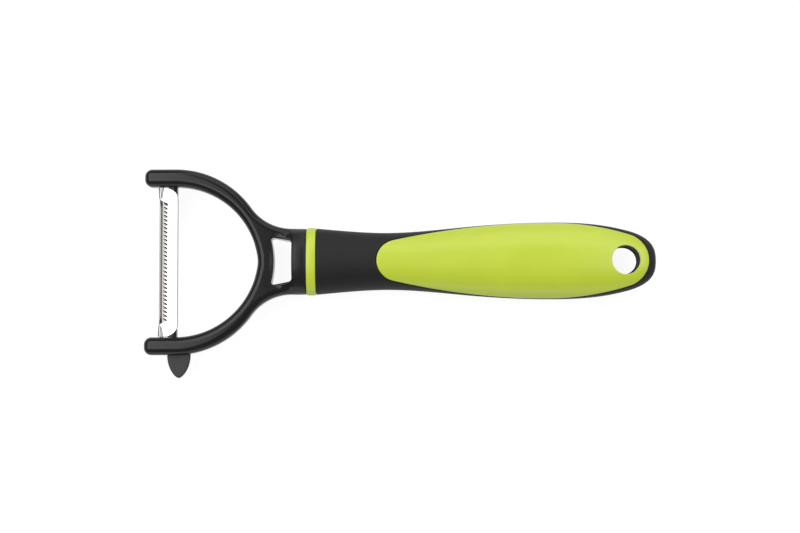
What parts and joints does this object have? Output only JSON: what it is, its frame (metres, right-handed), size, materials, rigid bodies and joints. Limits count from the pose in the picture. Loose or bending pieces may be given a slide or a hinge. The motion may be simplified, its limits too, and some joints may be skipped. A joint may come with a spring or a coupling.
{
  "type": "vegetable peeler",
  "caption": "Y-shaped vegetable peeler: swivelling toothed steel blade between the arms of a black yoke, side eye remover, oval grip with lime inlay and hanging hole.",
  "frame": {"origin": "centre of the hanging hole, on the handle's mid-plane", "axes": "+X from the hanging hole to the blade, +Y to the side of the eye remover, +Z out of the face that carries the lime inlay"},
  "size_m": [0.1857, 0.0759, 0.0186],
  "materials": {
    "gloss_black_plastic": "polished moulding",
    "dark_grey_plastic": "satin",
    "blade_steel": "ground and polished",
    "pin_steel": "drawn wire",
    "lime_ring_plastic": "satin",
    "core_plastic": "as moulded",
    "soft_black_grip": "fine matt grain",
    "lime_inlay_plastic": "satin"
  },
  "bodies": {
    "handle": {"yoke": "gloss_black_plastic", "eye_remover": "dark_grey_plastic", "left_pivot_pin": "pin_steel", "right_pivot_pin": "pin_steel", "collar_ring": "lime_ring_plastic", "handle_core": "core_plastic", "grip_sleeve": "soft_black_grip", "grip_inlay": "lime_inlay_plastic"},
    "swivel_blade": {"blade": "blade_steel"}
  },
  "joints": [
    {"name": "blade_swivel", "type": "hinge", "parent": "handle", "child": "swivel_blade", "pos_m": [0.16813, 0, 0], "axis": [0, 1, 0], "range_deg": [0, 45]}
  ]
}
